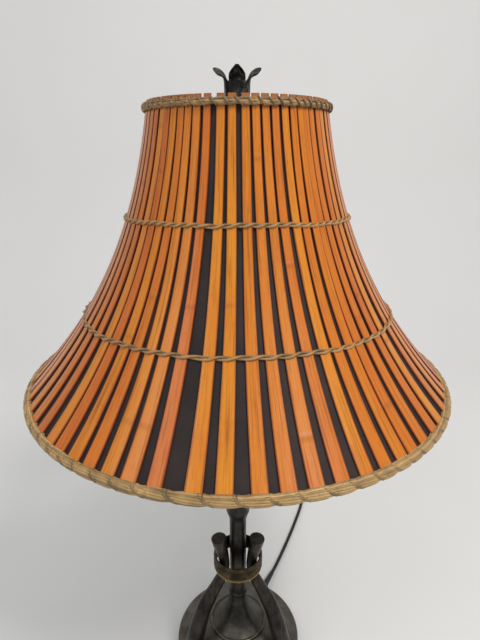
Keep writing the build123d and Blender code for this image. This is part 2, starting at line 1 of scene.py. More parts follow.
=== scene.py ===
from math import cos, pi, radians, sin, tan
import bmesh
import bpy
import numpy as np
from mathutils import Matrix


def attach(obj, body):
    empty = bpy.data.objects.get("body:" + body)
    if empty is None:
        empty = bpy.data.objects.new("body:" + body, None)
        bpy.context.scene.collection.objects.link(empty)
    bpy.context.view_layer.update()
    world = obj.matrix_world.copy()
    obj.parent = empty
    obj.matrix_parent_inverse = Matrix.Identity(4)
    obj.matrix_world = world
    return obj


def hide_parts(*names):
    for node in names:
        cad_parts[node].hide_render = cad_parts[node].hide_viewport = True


# A table lamp with a bell shade of split bamboo slats on a dark bronze stand. Metres, +Z up, -Y the front.
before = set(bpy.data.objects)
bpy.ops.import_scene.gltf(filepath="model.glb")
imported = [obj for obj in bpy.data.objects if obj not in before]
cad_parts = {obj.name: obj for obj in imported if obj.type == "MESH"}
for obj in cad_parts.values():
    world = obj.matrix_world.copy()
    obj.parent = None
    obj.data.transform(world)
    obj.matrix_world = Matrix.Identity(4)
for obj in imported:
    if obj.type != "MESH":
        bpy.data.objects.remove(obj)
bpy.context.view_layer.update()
scene = bpy.context.scene
random = np.random.default_rng(7)


# Camera

view = {"place": (0.0026, -0.488, 0.6437), "pitchDown": 19.6, "lens": 27.0}
camera = bpy.data.objects.new("camera", bpy.data.cameras.new("camera"))
scene.collection.objects.link(camera)
camera.location = view["place"]
camera.rotation_euler = (radians(90 - view["pitchDown"]), 0, 0)
camera.data.lens = view["lens"]
camera.data.sensor_width = 36
scene.camera = camera


# Node helpers

def linear(red, green, blue):
    # The screen colour 0 to 255, as the linear colour that shaders mix
    shade = np.array([red, green, blue]) / 255
    lin = np.where(shade <= 0.04045, shade / 12.92, ((shade + 0.055) / 1.055) ** 2.4)
    return (*lin.tolist(), 1.0)


def addNode(tree, kind, inputs=None, **settings):
    node = tree.nodes.new("ShaderNode" + kind)
    for key, value in settings.items():
        setattr(node, key, value)
    for key, value in (inputs or {}).items():
        if isinstance(value, bpy.types.NodeSocket):
            tree.links.new(value, node.inputs[key])
        else:
            node.inputs[key].default_value = value
    return node


def calc(tree, operation, a, b=0.0, clamp=False):
    node = addNode(tree, "Math", {0: a, 1: b}, operation=operation, use_clamp=clamp)
    return node.outputs[0]


def addShare(tree, base, value, share):
    return calc(tree, "ADD", base, calc(tree, "MULTIPLY", value, share))


def smoothStep(tree, value, low, high, toLow=0.0, toHigh=1.0):
    node = addNode(tree, "MapRange", {"Value": value, "From Min": low, "From Max": high,
                                      "To Min": toLow, "To Max": toHigh}, interpolation_type="SMOOTHSTEP")
    return node.outputs["Result"]


def mixColour(tree, factor, a, b, blend="MIX"):
    node = addNode(tree, "Mix", {0: factor, 6: a, 7: b}, data_type="RGBA", blend_type=blend)
    return node.outputs[2]


def stained(tree, base, pattern, low, high, most, colour):
    # The colour mixed in where the pattern is high, by that share at most
    return mixColour(tree, smoothStep(tree, pattern, low, high, 0.0, most), base, colour)


def scaled(tree, vector, factors):
    node = addNode(tree, "VectorMath", {0: vector, 1: factors}, operation="MULTIPLY")
    return node.outputs[0]


def noise(tree, vector, scale, detail=3.0, rough=0.55, distortion=0.0):
    node = addNode(tree, "TexNoise", {"Vector": vector, "Scale": scale, "Detail": detail,
                                      "Roughness": rough, "Distortion": distortion})
    return node.outputs["Fac"]


def newGroup(name, inputs, outputs):
    group = bpy.data.node_groups.new(name, "ShaderNodeTree")
    for key, (kind, value) in inputs.items():
        socket = group.interface.new_socket(key, in_out="INPUT", socket_type="NodeSocket" + kind)
        if value is not None:
            socket.default_value = value
    for key, kind in outputs.items():
        group.interface.new_socket(key, in_out="OUTPUT", socket_type="NodeSocket" + kind)
    return group, group.nodes.new("NodeGroupInput").outputs, group.nodes.new("NodeGroupOutput").inputs


def useGroup(tree, group, inputs):
    return addNode(tree, "Group", inputs, node_tree=group).outputs


def splitVector(tree, vector):
    return addNode(tree, "SeparateXYZ", {0: vector}).outputs


def newMaterial(name, constants):
    # A Principled material; constants are the shader's own fixed values
    material = bpy.data.materials.new(name)
    material.use_nodes = True
    tree = material.node_tree
    shader = tree.nodes["Principled BSDF"]
    for key, value in constants.items():
        shader.inputs[key].default_value = value
    return material, tree, shader.inputs


def setBump(tree, target, height, distance, strength=1.0):
    bump = addNode(tree, "Bump", {"Height": height, "Distance": distance, "Strength": strength})
    tree.links.new(bump.outputs["Normal"], target["Normal"])


# Shared effects

def makeFibreGroup():
    # Streaks that run along the second coordinate and change quickly over the first, in metres
    group, given, made = newGroup("fibreStreaks", {
        "Vector": ("Vector", None), "Fineness": ("Float", 900.0), "Stretch": ("Float", 0.04),
        "Seed": ("Float", 0.0)}, {"Broad": "Float", "Fine": "Float", "Pores": "Float"})
    parts = splitVector(group, given["Vector"])
    along = calc(group, "MULTIPLY", parts[1], given["Stretch"])
    shifted = calc(group, "MULTIPLY", given["Seed"], 3.7)
    vector = addNode(group, "CombineXYZ", {0: parts[0], 1: along, 2: shifted}).outputs[0]
    fine = calc(group, "MULTIPLY", given["Fineness"], 3.2)
    group.links.new(noise(group, vector, given["Fineness"], 4.0, 0.6), made["Broad"])
    group.links.new(noise(group, vector, fine, 3.0, 0.65), made["Fine"])
    pores = noise(group, vector, calc(group, "MULTIPLY", given["Fineness"], 6.5), 1.0, 0.5)
    group.links.new(smoothStep(group, pores, 0.60, 0.72), made["Pores"])
    return group


def makePatinaGroup():
    # Cloudy change between two tones, with a third tone where the surface is rubbed
    group, given, made = newGroup("metalPatina", {
        "Vector": ("Vector", None), "Scale": ("Float", 60.0), "Dark": ("Color", None),
        "Light": ("Color", None), "Rubbed": ("Color", None), "Rubbing": ("Float", 0.2)},
        {"Color": "Color", "Roughness": "Float", "Height": "Float"})
    clouds = noise(group, given["Vector"], given["Scale"], 5.0, 0.6, 0.4)
    speckle = noise(group, given["Vector"], calc(group, "MULTIPLY", given["Scale"], 9.0), 3.0, 0.6)
    tone = smoothStep(group, clouds, 0.3, 0.7)
    base = mixColour(group, tone, given["Dark"], given["Light"])
    grime = stained(group, base, speckle, 0.5, 0.75, 0.45, given["Dark"])
    spread = calc(group, "SUBTRACT", 1.02, given["Rubbing"])
    edge = calc(group, "ADD", spread, 0.22)
    wear = addShare(group, clouds, speckle, 0.5)
    rubbed = smoothStep(group, wear, spread, edge)
    group.links.new(mixColour(group, rubbed, grime, given["Rubbed"]), made["Color"])
    rough = calc(group, "MULTIPLY_ADD", speckle, 0.22)
    rough.node.inputs[2].default_value = 0.26
    worn = calc(group, "SUBTRACT", rough, calc(group, "MULTIPLY", rubbed, 0.1))
    group.links.new(worn, made["Roughness"])
    group.links.new(addShare(group, clouds, speckle, 0.35), made["Height"])
    return group


def makeDustGroup():
    # A pale film where the surface looks up, thicker in patches
    group, given, made = newGroup("settledDust", {
        "Vector": ("Vector", None), "Color": ("Color", None), "Roughness": ("Float", 0.4),
        "Amount": ("Float", 0.2)}, {"Color": "Color", "Roughness": "Float"})
    facing = splitVector(group, addNode(group, "NewGeometry").outputs["Normal"])[2]
    upward = smoothStep(group, facing, 0.35, 1.0)
    patches = smoothStep(group, noise(group, given["Vector"], 55.0, 4.0, 0.65), 0.35, 0.75, 0.3, 1.0)
    cover = calc(group, "MULTIPLY", calc(group, "MULTIPLY", upward, patches), given["Amount"], clamp=True)
    group.links.new(mixColour(group, cover, given["Color"], linear(170, 163, 150)), made["Color"])
    group.links.new(addShare(group, given["Roughness"], cover, 0.6), made["Roughness"])
    return group


def makeMouldedGroup():
    # The fine even texture of a moulded or sprayed surface, with faint smears
    group, given, made = newGroup("mouldedTexture", {
        "Vector": ("Vector", None), "Scale": ("Float", 1200.0), "Color": ("Color", None),
        "Marks": ("Color", None)}, {"Color": "Color", "Roughness": "Float", "Height": "Float"})
    grains = noise(group, given["Vector"], given["Scale"], 2.0, 0.5)
    smears = noise(group, given["Vector"], 38.0, 4.0, 0.6, 0.6)
    group.links.new(stained(group, given["Color"], smears, 0.45, 0.8, 0.6, given["Marks"]), made["Color"])
    rough = calc(group, "MULTIPLY_ADD", smears, 0.25)
    rough.node.inputs[2].default_value = 0.3
    group.links.new(rough, made["Roughness"])
    group.links.new(grains, made["Height"])
    return group


fibreGroup = makeFibreGroup()
patinaGroup = makePatinaGroup()
dustGroup = makeDustGroup()
mouldedGroup = makeMouldedGroup()


# Materials

def surfaceVector(tree):
    return addNode(tree, "UVMap", uv_map="UVMap").outputs["UV"]


def objectVector(tree):
    return addNode(tree, "TexCoord").outputs["Object"]


def attributeValue(tree, name):
    return addNode(tree, "Attribute", attribute_name=name).outputs["Fac"]


def makeBamboo():
    look = {"ochre": linear(214, 134, 20), "orange": linear(196, 98, 8), "brown": linear(116, 42, 6),
            "pale": linear(228, 160, 66), "edge": linear(110, 36, 8), "tip": linear(140, 92, 52)}
    material, tree, shader = newMaterial("stainedBamboo", {
        "Coat Roughness": 0.18, "IOR": 1.46, "Coat IOR": 1.5, "Specular IOR Level": 0.35})
    vector = surfaceVector(tree)
    tone = attributeValue(tree, "tone")
    seed = attributeValue(tree, "seed")
    edge = attributeValue(tree, "edge")
    height = splitVector(tree, objectVector(tree))[2]
    grain = useGroup(tree, fibreGroup, {"Vector": vector, "Fineness": 620.0, "Stretch": 0.022, "Seed": seed})
    base = mixColour(tree, tone, look["orange"], look["ochre"])
    # Broad stain clouds that change slowly along each slat
    cloud = noise(tree, scaled(tree, objectVector(tree), (22.0, 22.0, 9.0)), 1.0, 3.0)
    base = stained(tree, base, cloud, 0.4, 0.75, 0.45, look["orange"])
    base = stained(tree, base, grain["Broad"], 0.48, 0.74, 0.62, look["brown"])
    base = stained(tree, base, grain["Fine"], 0.5, 0.75, 0.3, look["pale"])
    base = mixColour(tree, calc(tree, "MULTIPLY", grain["Pores"], 0.35), base, look["brown"])
    base = stained(tree, base, edge, 0.74, 1.0, 0.8, look["edge"])
    # The cane's joints: faint darker rings, at a different height on each slat
    parts = splitVector(tree, vector)
    ring = calc(tree, "FRACT", calc(tree, "ADD", calc(tree, "MULTIPLY", parts[1], 2.7), seed))
    offRing = calc(tree, "ABSOLUTE", calc(tree, "SUBTRACT", ring, 0.5))
    joint = smoothStep(tree, offRing, 0.0, 0.012, 1.0, 0.0)
    base = mixColour(tree, calc(tree, "MULTIPLY", joint, 0.22), base, look["brown"])
    # The slats' tips, above the top binding, are duller
    dull = smoothStep(tree, height, 0.6815, 0.6828)
    base = mixColour(tree, calc(tree, "MULTIPLY", dull, 0.7), base, look["tip"])
    tree.links.new(base, shader["Base Color"])
    rough = addShare(tree, 0.22, grain["Fine"], 0.22)
    tree.links.new(addShare(tree, rough, dull, 0.25), shader["Roughness"])
    coat = calc(tree, "SUBTRACT", 0.5, calc(tree, "MULTIPLY", grain["Broad"], 0.4))
    tree.links.new(coat, shader["Coat Weight"])
    relief = addShare(tree, addShare(tree, grain["Broad"], grain["Fine"], 0.4), joint, 0.8)
    setBump(tree, shader, relief, 0.00022)
    return material


def makeStrand(name, colours, fineness, roughness, gloss):
    # A plant strand: two tones picked by its tone value, and fibres along it. On the twines the tone is
    # painted shade and light; on the other strands it is the strand's own colour
    material, tree, shader = newMaterial(name, {"Coat Roughness": 0.3, "IOR": 1.45})
    vector = surfaceVector(tree)
    tone = attributeValue(tree, "tone")
    grain = useGroup(tree, fibreGroup, {
        "Vector": vector, "Fineness": fineness, "Stretch": 0.07, "Seed": tone})
    patch = noise(tree, scaled(tree, objectVector(tree), (60.0, 60.0, 60.0)), 1.0, 3.0)
    blend = calc(tree, "ADD", tone, smoothStep(tree, patch, 0.3, 0.7, -0.28, 0.28), clamp=True)
    base = mixColour(tree, blend, linear(*colours[0]), linear(*colours[1]))
    base = stained(tree, base, grain["Broad"], 0.46, 0.7, 0.75, linear(*colours[2]))
    base = stained(tree, base, grain["Fine"], 0.52, 0.72, 0.45, linear(*colours[3]))
    tree.links.new(base, shader["Base Color"])
    tree.links.new(addShare(tree, roughness, grain["Fine"], 0.25), shader["Roughness"])
    tree.links.new(calc(tree, "MULTIPLY", grain["Broad"], gloss), shader["Coat Weight"])
    setBump(tree, shader, addShare(tree, grain["Broad"], grain["Fine"], 0.5), 0.0003)
    return material


def makeMetal(name, dark, light, rubbed, scale=70.0, rubbing=0.2, metallic=0.85, roughShift=0.0, dust=0.0,
              grain=None, zone=None, relief=0.00012):
    # A patinated metal; zone adds a mask in the rubbed colour from the object's own coordinates: rubbed wear,
    # and on the base's bead also a painted highlight
    material, tree, shader = newMaterial(name, {"Metallic": metallic, "IOR": 1.5})
    vector = objectVector(tree)
    patina = useGroup(tree, patinaGroup, {
        "Vector": vector, "Scale": scale, "Dark": linear(*dark), "Light": linear(*light),
        "Rubbed": linear(*rubbed), "Rubbing": rubbing})
    colour = patina["Color"]
    rough = calc(tree, "ADD", patina["Roughness"], roughShift)
    height = patina["Height"]
    if grain:
        fibres = useGroup(tree, fibreGroup, {"Vector": scaled(tree, vector, grain), "Fineness": 260.0,
                                             "Stretch": 0.12, "Seed": 2.0})
        colour = mixColour(tree, smoothStep(tree, fibres["Broad"], 0.5, 0.75, 0.0, 0.5), colour,
                           linear(*rubbed))
        height = calc(tree, "ADD", height, fibres["Broad"])
    if zone:
        mask = calc(tree, "MULTIPLY", zone(tree, vector), smoothStep(tree, patina["Height"], 0.35, 0.75))
        colour = mixColour(tree, mask, colour, linear(*rubbed))
        rough = calc(tree, "SUBTRACT", rough, calc(tree, "MULTIPLY", mask, 0.12))
    if dust:
        film = useGroup(tree, dustGroup, {"Vector": vector, "Color": colour, "Roughness": rough,
                                          "Amount": dust})
        colour = film["Color"]
        rough = film["Roughness"]
    tree.links.new(colour, shader["Base Color"])
    tree.links.new(rough, shader["Roughness"])
    setBump(tree, shader, height, relief)
    return material


def makeMoulded(name, colour, marks, scale=1400.0, roughness=0.0, relief=0.00006, extra=None):
    material, tree, shader = newMaterial(name, {"IOR": 1.47, **(extra or {})})
    made = useGroup(tree, mouldedGroup, {"Vector": objectVector(tree), "Scale": scale,
                                         "Color": linear(*colour), "Marks": linear(*marks)})
    tree.links.new(made["Color"], shader["Base Color"])
    tree.links.new(calc(tree, "ADD", made["Roughness"], roughness), shader["Roughness"])
    setBump(tree, shader, made["Height"], relief)
    return material


def makeLining():
    # Stiff dark card with a faint grain of fibres, slightly paler where it has faded
    material, tree, shader = newMaterial("darkLining", {"IOR": 1.4})
    vector = objectVector(tree)
    fibres = useGroup(tree, fibreGroup, {"Vector": vector, "Fineness": 700.0, "Stretch": 0.8, "Seed": 1.0})
    fading = noise(tree, vector, 14.0, 4.0)
    base = mixColour(tree, smoothStep(tree, fading, 0.35, 0.75), linear(31, 23, 22), linear(54, 41, 38))
    base = stained(tree, base, fibres["Fine"], 0.5, 0.8, 0.5, linear(84, 68, 58))
    tree.links.new(base, shader["Base Color"])
    tree.links.new(addShare(tree, 0.62, fibres["Fine"], 0.2), shader["Roughness"])
    setBump(tree, shader, fibres["Broad"], 0.0002)
    return material


def makeFrosted():
    # Frosted bulb glass: near white, lets some light through, and slightly uneven
    material, tree, shader = newMaterial("frostedGlass", {
        "Transmission Weight": 0.35, "Metallic": 0.0, "IOR": 1.45})
    clouds = noise(tree, objectVector(tree), 45.0, 4.0)
    white = mixColour(tree, clouds, linear(236, 234, 226), linear(250, 249, 244))
    tree.links.new(white, shader["Base Color"])
    tree.links.new(addShare(tree, 0.3, clouds, 0.15), shader["Roughness"])
    setBump(tree, shader, noise(tree, objectVector(tree), 900.0, 2.0), 0.00003)
    return material


def ridgeZone(tree, vector):
    # The bead round the base is faintly rubbed all round, with a painted highlight in the rubbed colour at its
    # front; the rim has a very faint line of the rubbed colour all round
    parts = splitVector(tree, vector)
    reach = calc(tree, "SQRT", calc(tree, "ADD", calc(tree, "MULTIPLY", parts[0], parts[0]),
                                    calc(tree, "MULTIPLY", parts[1], parts[1])))
    offRidge = calc(tree, "ABSOLUTE", calc(tree, "SUBTRACT", reach, 0.0362))
    # Painted highlight: the bead's front takes most of the rubbed colour, its back and sides only a little
    front = smoothStep(tree, parts[1], -0.0358, -0.0335, 0.6, 0.06)
    bead = calc(tree, "MULTIPLY", smoothStep(tree, offRidge, 0.0008, 0.0030, 1.0, 0.0), front)
    offRim = calc(tree, "ABSOLUTE", calc(tree, "SUBTRACT", parts[2], 0.0105))
    outer = smoothStep(tree, reach, 0.0775, 0.0800)
    rim = calc(tree, "MULTIPLY", smoothStep(tree, offRim, 0.0008, 0.0028, 0.12, 0.0), outer)
    return calc(tree, "ADD", bead, rim, clamp=True)


def cutTopZone(tree, vector):
    # Nothing is rubbed on the legs but a narrow line under their cut tops
    height = splitVector(tree, vector)[2]
    offTop = calc(tree, "ABSOLUTE", calc(tree, "SUBTRACT", height, 0.172))
    return smoothStep(tree, offTop, 0.0, 0.012, 0.35, 0.0)


def lowerEdgeZone(tree, vector):
    # The lower edge of the leg binding is rubbed brighter than the rest
    height = splitVector(tree, vector)[2]
    return smoothStep(tree, height, 0.1315, 0.1345, 0.8, 0.0)


bronzeTones = {"dark": (34, 32, 30), "light": (70, 66, 60), "rubbed": (146, 118, 72)}
finishes = {
    "felt": makeMoulded("feltPad", (28, 32, 28), (44, 48, 43), 2600.0, 0.35, 0.0004,
                        {"Sheen Weight": 0.5, "Sheen Roughness": 0.5}),
    "bronze": makeMetal("darkBronze", **bronzeTones, scale=46.0, rubbing=0.1, dust=0.35, zone=ridgeZone),
    "iron": makeMetal("castIron", (40, 40, 42), (78, 77, 76), (110, 100, 92), 120.0, 0.2, relief=0.0005),
    "steel": makeMetal("platedSteel", (120, 122, 126), (190, 190, 192), (214, 214, 216), 90.0, 0.3, 1.0),
    "bronze_leg": makeMetal("legBronze", (30, 28, 27), (64, 60, 56), (96, 84, 62), 52.0, 0.05, dust=0.12,
                            grain=(1.0, 1.0, 1.0), zone=cutTopZone, relief=0.0002),
    "brass_binding": makeMetal("antiqueBrass", (44, 38, 30), (86, 72, 48), (170, 140, 84), 95.0, 0.15,
                               0.9, zone=lowerEdgeZone, relief=0.0002),
    "black_plastic": makeMoulded("blackMoulded", (20, 20, 21), (42, 42, 44)),
    "cord_pvc": makeMoulded("softCord", (17, 17, 18), (34, 34, 35), 900.0, 0.12),
    "blade_brass": makeMetal("bladeBrass", (168, 134, 72), (214, 184, 112), (234, 212, 150), 150.0, 0.3, 1.0),
    "harp_brass": makeMetal("harpBrass", (128, 96, 48), (186, 148, 82), (214, 184, 120), 110.0, 0.25, 1.0),
    "socket_brass": makeMetal("socketBrass", (132, 100, 50), (194, 156, 86), (220, 190, 124), 100.0, 0.25,
                              1.0),
    "liner_card": makeMoulded("linerCard", (120, 92, 62), (146, 116, 82), 700.0, 0.3, 0.0003),
    "socket_phenolic": makeMoulded("darkPhenolic", (30, 22, 20), (52, 42, 38), 1100.0),
    "bulb_glass": makeFrosted(),
    "bulb_metal": makeMetal("bulbShell", (150, 150, 150), (206, 206, 204), (226, 226, 224), 130.0, 0.3, 1.0),
    "frame_steel": makeMetal("frameWire", (96, 74, 40), (150, 120, 68), (190, 160, 100), 120.0, 0.25, 0.9),
    "lining": makeLining(),
    "bamboo": makeBamboo(),
    "cane": makeStrand("twinedCane", ((118, 94, 62), (192, 146, 88), (70, 52, 34), (220, 190, 136)),
                       2600.0, 0.36, 0.5),
    "raffia": makeStrand("bundledRaffia", ((104, 82, 48), (200, 162, 104), (78, 58, 34), (222, 194, 138)),
                         1200.0, 0.4, 0.4),
    "finial_bronze": makeMetal("finialBronze", (32, 31, 31), (72, 69, 66), (128, 122, 112), 85.0, 0.24,
                               dust=0.15, relief=0.0003),
    "insert_brass": makeMetal("insertBrass", (150, 118, 62), (206, 170, 100), (228, 200, 140), 140.0, 0.3,
                              1.0),
}
finishNames = {material.name for material in finishes.values()}
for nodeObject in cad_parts.values():
    for place in nodeObject.material_slots:
        nodeSlot = place.material.name.split(".")[0]
        if nodeSlot in finishes:
            place.material = finishes[nodeSlot]
unpainted = [name for name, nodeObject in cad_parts.items()
             if any(place.material.name not in finishNames for place in nodeObject.material_slots)]
print("materials", len(finishes), "unpainted", unpainted)


# Mesh helpers

def makePiece(name, points, along, around, closeRows=False, closeColumns=True, values=None, weld=False,
              sharpAngle=None):
    # Quads between neighbouring points of each grid in points (grids, rows, columns, xyz). along and around
    # are the surface coordinates in metres, with one more entry where that way closes on itself.
    points = np.asarray(points, float)
    grids, rows, columns = points.shape[:3]
    rowIndex = np.arange(rows if closeRows else rows - 1)
    columnIndex = np.arange(columns if closeColumns else columns - 1)
    grid, row, column = np.meshgrid(np.arange(grids), rowIndex, columnIndex, indexing="ij")
    rowCorners = np.stack([row, row + 1, row + 1, row], -1)
    columnCorners = np.stack([column, column, column + 1, column + 1], -1)
    corners = (grid[..., None] * rows + rowCorners % rows) * columns + columnCorners % columns
    corners = corners.reshape(-1, 4)
    alongAll = np.broadcast_to(along, (grids, rows + closeRows))
    aroundAll = np.broadcast_to(around, (grids, columns + closeColumns))
    uv = np.stack([aroundAll[grid[..., None], columnCorners], alongAll[grid[..., None], rowCorners]], -1)
    uv = uv.reshape(-1, 4, 2)
    flat = points.reshape(-1, 3)
    a, b, c, d = (flat[corners[:, k]] - flat.mean(0) for k in range(4))
    if np.sum(a * (np.cross(b, c) + np.cross(c, d))) < 0:
        corners = corners[:, ::-1]
        uv = uv[:, ::-1]
    mesh = bpy.data.meshes.new(name)
    mesh.vertices.add(len(flat))
    mesh.vertices.foreach_set("co", flat.ravel())
    mesh.loops.add(corners.size)
    mesh.loops.foreach_set("vertex_index", corners.ravel())
    mesh.polygons.add(len(corners))
    mesh.polygons.foreach_set("loop_start", np.arange(0, corners.size, 4))
    mesh.polygons.foreach_set("use_smooth", np.ones(len(corners), bool))
    mesh.update(calc_edges=True)
    mesh.uv_layers.new(name="UVMap").data.foreach_set("uv", uv.ravel())
    for key, value in (values or {}).items():
        spread = np.broadcast_to(value, points.shape[:3]).ravel().astype(np.float32)
        mesh.attributes.new(key, "FLOAT", "POINT").data.foreach_set("value", spread)
    if weld:
        work = bmesh.new()
        work.from_mesh(mesh)
        bmesh.ops.remove_doubles(work, verts=work.verts, dist=1e-7)
        work.to_mesh(mesh)
        work.free()
    if sharpAngle:
        mesh.set_sharp_from_angle(angle=radians(sharpAngle))
    piece = bpy.data.objects.new(name, mesh)
    scene.collection.objects.link(piece)
    return piece


def finishPiece(piece, body, slot, *replaced):
    piece.data.materials.clear()
    piece.data.materials.append(finishes[slot])
    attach(piece, body)
    if replaced:
        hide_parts(*replaced)
    return piece


def unit(vectors):
    return vectors / np.maximum(np.linalg.norm(vectors, axis=-1, keepdims=True), 1e-12)


def fullTurn(count):
    # That many angles, evenly spread round a circle
    return np.linspace(0, 2 * pi, count, endpoint=False)


def girth(radius, count):
    # Lengths round a circle of that radius, with one more entry than the count as it closes
    return np.linspace(0, 2 * pi * radius, count + 1)


def tubeRings(line, acrossRadius, upRadius, sides, upHint=(0, 0, 1)):
    # Rings round a line (…, points, xyz): the point plus cos times one radius along the sideways direction
    # and sin times the other along the upward one, both square to the line
    ahead = unit(np.gradient(line, axis=-2))
    sideways = unit(np.cross(ahead, np.broadcast_to(upHint, line.shape)))
    upward = np.cross(sideways, ahead)
    turn = fullTurn(sides)
    wide = np.asarray(acrossRadius)[..., None, None] * np.cos(turn)[:, None]
    tall = np.asarray(upRadius)[..., None, None] * np.sin(turn)[:, None]
    return line[..., None, :] + sideways[..., None, :] * wide + upward[..., None, :] * tall


def closedEnds(rings):
    # Adds a row at each end that is all at the end ring's middle, so the tube closes
    first = np.repeat(rings[..., :1, :, :].mean(-2, keepdims=True), rings.shape[-2], -2)
    last = np.repeat(rings[..., -1:, :, :].mean(-2, keepdims=True), rings.shape[-2], -2)
    return np.concatenate([first, rings, last], -3)


# Cord: a mains lead along the floor from the rear right of the base to a coil behind it

cordSizes = {"diameter": 0.005, "length": 1.8, "coilMiddle": (0.0939, 0.3263), "coilTurn": 12.0,
             "middleRadius": 0.030, "turnsAcross": 4, "pointsPerTurn": 16, "out": 0.038,
             "floorLine": 0.0027, "climb": 0.4, "widening": 1.006}
cordRoute = [(0.04247, 0.07855, 0.0063), (0.04913, 0.09087, 0.0063), (0.0610, 0.1155, 0.0027),
             (0.0815, 0.1610, 0.0027), (0.1010, 0.2080, 0.0027), (0.12076, 0.26027, 0.0027),
             (0.12804, 0.29451, 0.0027)]


def coilPoints(sizes):
    # Two layers of flat spiral, the radius falling by a diameter a turn on the floor and growing by as much on
    # top. The lead climbs over part of a turn, and its points stand a little wide because the spline cuts in.
    half = sizes["diameter"] * sizes["turnsAcross"] / 2
    count = sizes["turnsAcross"] * sizes["pointsPerTurn"]
    share = np.arange(1, count) / count
    inward = sizes["middleRadius"] + half * (1 - 2 * share)
    angle = 2 * pi * sizes["turnsAcross"] * share
    low = np.full(count - 1, sizes["floorLine"])
    rise = np.clip(np.arange(0, count) / (sizes["climb"] * sizes["pointsPerTurn"]), 0, 1)
    lift = sizes["floorLine"] + sizes["diameter"] * rise
    outShare = np.arange(0, count) / count
    outward = sizes["middleRadius"] - half * (1 - 2 * outShare)
    outAngle = 2 * pi * sizes["turnsAcross"] * outShare
    radius = np.concatenate([inward, outward]) * sizes["widening"]
    turn = np.concatenate([angle, outAngle])
    height = np.concatenate([low, lift])
    return placed(sizes, radius * np.cos(turn), radius * np.sin(turn), height)


def placed(sizes, x, y, z):
    # The coil's own plan turned clockwise onto the floor behind the lamp
    turn = radians(sizes["coilTurn"])
    middle = sizes["coilMiddle"]
    return np.stack([middle[0] + x * cos(turn) + y * sin(turn), middle[1] - x * sin(turn) + y * cos(turn),
                     z + 0 * x], -1)


def makeCord(sizes, route):
    outer = sizes["middleRadius"] + sizes["diameter"] * sizes["turnsAcross"] / 2
    upper = sizes["floorLine"] + sizes["diameter"]
    start = placed(sizes, np.array([outer]), np.array([0.0]), sizes["floorLine"])
    tail = placed(sizes, np.full(3, outer), np.array([0.0, 0.4, 1.0]) * sizes["out"], upper)
    points = np.concatenate([np.array(route), start, coilPoints(sizes), tail])
    curve = bpy.data.curves.new("mains_lead", "CURVE")
    curve.dimensions = "3D"
    spline = curve.splines.new("NURBS")
    spline.points.add(len(points) - 1)
    spline.points.foreach_set("co", np.concatenate([points, np.ones((len(points), 1))], 1).ravel())
    spline.order_u = 3
    spline.use_endpoint_u = True
    curve.resolution_u = 6
    curve.bevel_depth = sizes["diameter"] / 2
    curve.bevel_resolution = 3
    curve.use_fill_caps = True
    cord = bpy.data.objects.new("mains_lead", curve)
    scene.collection.objects.link(cord)
    return cord


def cordLine(cord):
    # The points of the lead's own middle line, read from a copy with no thickness
    bare = cord.copy()
    bare.data = cord.data.copy()
    bare.data.bevel_depth = 0
    scene.collection.objects.link(bare)
    bpy.context.view_layer.update()
    mesh = bpy.data.meshes.new_from_object(bare)
    line = np.zeros(len(mesh.vertices) * 3)
    mesh.vertices.foreach_get("co", line)
    bpy.data.objects.remove(bare)
    bpy.data.meshes.remove(mesh)
    return line.reshape(-1, 3)


mainsLead = makeCord(cordSizes, cordRoute)
leadLine = cordLine(mainsLead)
leadSteps = np.linalg.norm(np.diff(leadLine, axis=0), axis=1)
leadReach = np.concatenate([[0], np.cumsum(leadSteps)])
print("lead", round(float(leadReach[-1]), 4), "m over", len(leadLine), "points")

# Strain relief: a ribbed sleeve from inside the base's rim along the first part of the lead
reliefSizes = {"inside": 0.0155, "outside": 0.026, "neck": 0.0036, "flange": 0.0049, "start": 0.0044,
               "end": 0.0030, "ribs": 5, "ribDepth": 0.00055, "flangeFrom": -0.0035, "flangeTo": -0.0006,
               "sides": 24}


def makeRelief(sizes, line, reach):
    # The radius eases from the flange nearly to the lead's own, with ribs as a squared sine along it
    outward = unit(line[1] - line[0])
    behind = np.linspace(sizes["inside"], 0.0005, 12)
    into = line[0] - outward * behind[:, None]
    ahead = np.linspace(0, sizes["outside"], 46)
    outside = np.stack([np.interp(ahead, reach, line[:, k]) for k in range(3)], -1)
    path = np.concatenate([into, outside])
    travel = np.concatenate([-behind, ahead])
    share = np.clip(travel / sizes["outside"], 0, 1)
    taper = sizes["start"] + (sizes["end"] - sizes["start"]) * share
    ribs = sizes["ribDepth"] * np.sin(pi * sizes["ribs"] * share) ** 2 * (1 - share)
    radius = np.where(travel < sizes["flangeTo"], sizes["flange"], taper - ribs)
    radius = np.where(travel < sizes["flangeFrom"], sizes["neck"], radius)
    rings = closedEnds(tubeRings(path, radius, radius, sizes["sides"]))
    around = girth(sizes["neck"], sizes["sides"])
    travel = np.concatenate([travel[:1], travel, travel[-1:]])
    return makePiece("strain_relief", rings[None], travel, around, weld=True, sharpAngle=50)


strainRelief = finishPiece(makeRelief(reliefSizes, leadLine, leadReach), "stand", "black_plastic",
                           "cord_bushing")

# Plug: a moulded two-pin body, rounded towards the lead and ribbed for the fingers
plugSizes = {"length": 0.028, "halfWidth": 0.0119, "halfHeight": 0.0074, "grooves": 4, "grooveFrom": 0.3,
             "grooveSpan": 0.42, "power": 0.55, "sides": 56, "rows": 64}


